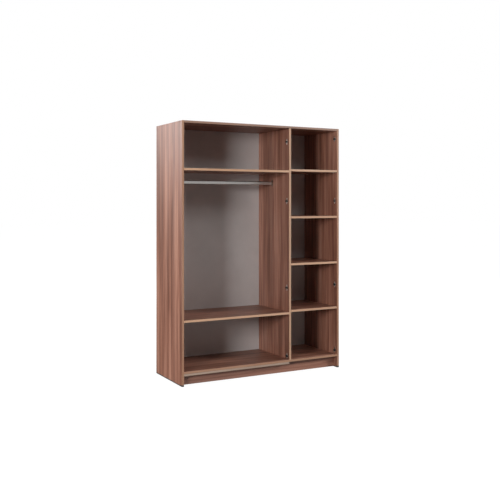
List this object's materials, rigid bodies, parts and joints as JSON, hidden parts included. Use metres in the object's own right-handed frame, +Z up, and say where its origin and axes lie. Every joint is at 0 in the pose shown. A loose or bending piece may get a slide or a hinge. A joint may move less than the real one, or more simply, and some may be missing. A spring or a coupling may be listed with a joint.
{
  "type": "wardrobe",
  "caption": "Tall walnut-look wardrobe with its doors off: wide hanging bay with hat shelf, rail and low shelf, narrow bay of loose shelves, recessed plinth.",
  "frame": {"origin": "on the floor, under the middle of the footprint", "axes": "+X to the right seen from the front, +Y to the back, +Z up; the open front faces -Y"},
  "size_m": [1.5, 0.55, 2.1],
  "materials": {
    "walnut_board": "walnut-look melamine on chipboard, satin, fine streaky grain",
    "batten_board": "paler walnut-look melamine, satin",
    "grey_sheet": "warm grey lacquered thin fibreboard, matt",
    "pale_plastic": "extruded plastic, matt",
    "dark_plastic": "dark grey moulded plastic, matt",
    "nickel": "nickel plate, satin",
    "rail_steel": "satin steel tube",
    "edge_band": "tan walnut-look edging, satin"
  },
  "bodies": {
    "carcass": {"left_side_panel": "walnut_board", "right_side_panel": "walnut_board", "centre_divider": "walnut_board", "top_panel": "walnut_board", "bottom_panel": "walnut_board", "front_plinth": "walnut_board", "rear_plinth": "walnut_board", "plinth_brace": "walnut_board", "left_hat_shelf": "walnut_board", "left_lower_shelf": "walnut_board", "left_front_batten": "batten_board", "back_sheet_left": "grey_sheet", "back_sheet_right": "grey_sheet", "back_sheet_joiner": "pale_plastic", "left_base_strip": "dark_plastic", "right_base_strip": "dark_plastic", "brace_glide": "dark_plastic", "rail_cup_left": "nickel", "rail_cup_right": "nickel", "hinge_plate_left_1": "nickel", "hinge_plate_left_2": "nickel", "hinge_plate_left_3": "nickel", "hinge_plate_left_4": "nickel", "hinge_plate_centre_1": "nickel", "hinge_plate_centre_2": "nickel", "hinge_plate_centre_3": "nickel", "hinge_plate_centre_4": "nickel", "hinge_plate_right_1": "nickel", "hinge_plate_right_2": "nickel", "hinge_plate_right_3": "nickel", "hinge_plate_right_4": "nickel", "shelf_1_pin_left_front": "nickel", "shelf_1_pin_left_rear": "nickel", "shelf_1_pin_right_front": "nickel", "shelf_1_pin_right_rear": "nickel", "shelf_2_pin_left_front": "nickel", "shelf_2_pin_left_rear": "nickel", "shelf_2_pin_right_front": "nickel", "shelf_2_pin_right_rear": "nickel", "shelf_3_pin_left_front": "nickel", "shelf_3_pin_left_rear": "nickel", "shelf_3_pin_right_front": "nickel", "shelf_3_pin_right_rear": "nickel", "shelf_4_pin_left_front": "nickel", "shelf_4_pin_left_rear": "nickel", "shelf_4_pin_right_front": "nickel", "shelf_4_pin_right_rear": "nickel"},
    "shelf_1": {"right_shelf_1": "walnut_board"},
    "shelf_2": {"right_shelf_2": "walnut_board"},
    "shelf_3": {"right_shelf_3": "walnut_board"},
    "shelf_4": {"right_shelf_4": "walnut_board"},
    "rail": {"hanging_rail": "rail_steel"}
  },
  "joints": [
    {"name": "shelf_1_slide", "type": "slide", "parent": "carcass", "child": "shelf_1", "axis": [0, -1, 0], "range_m": [0, 0.56]},
    {"name": "shelf_2_slide", "type": "slide", "parent": "carcass", "child": "shelf_2", "axis": [0, -1, 0], "range_m": [0, 0.56]},
    {"name": "shelf_3_slide", "type": "slide", "parent": "carcass", "child": "shelf_3", "axis": [0, -1, 0], "range_m": [0, 0.56]},
    {"name": "shelf_4_slide", "type": "slide", "parent": "carcass", "child": "shelf_4", "axis": [0, -1, 0], "range_m": [0, 0.56]},
    {"name": "rail_lift", "type": "slide", "parent": "carcass", "child": "rail", "axis": [0, 0, 1], "range_m": [0, 0.05]}
  ]
}
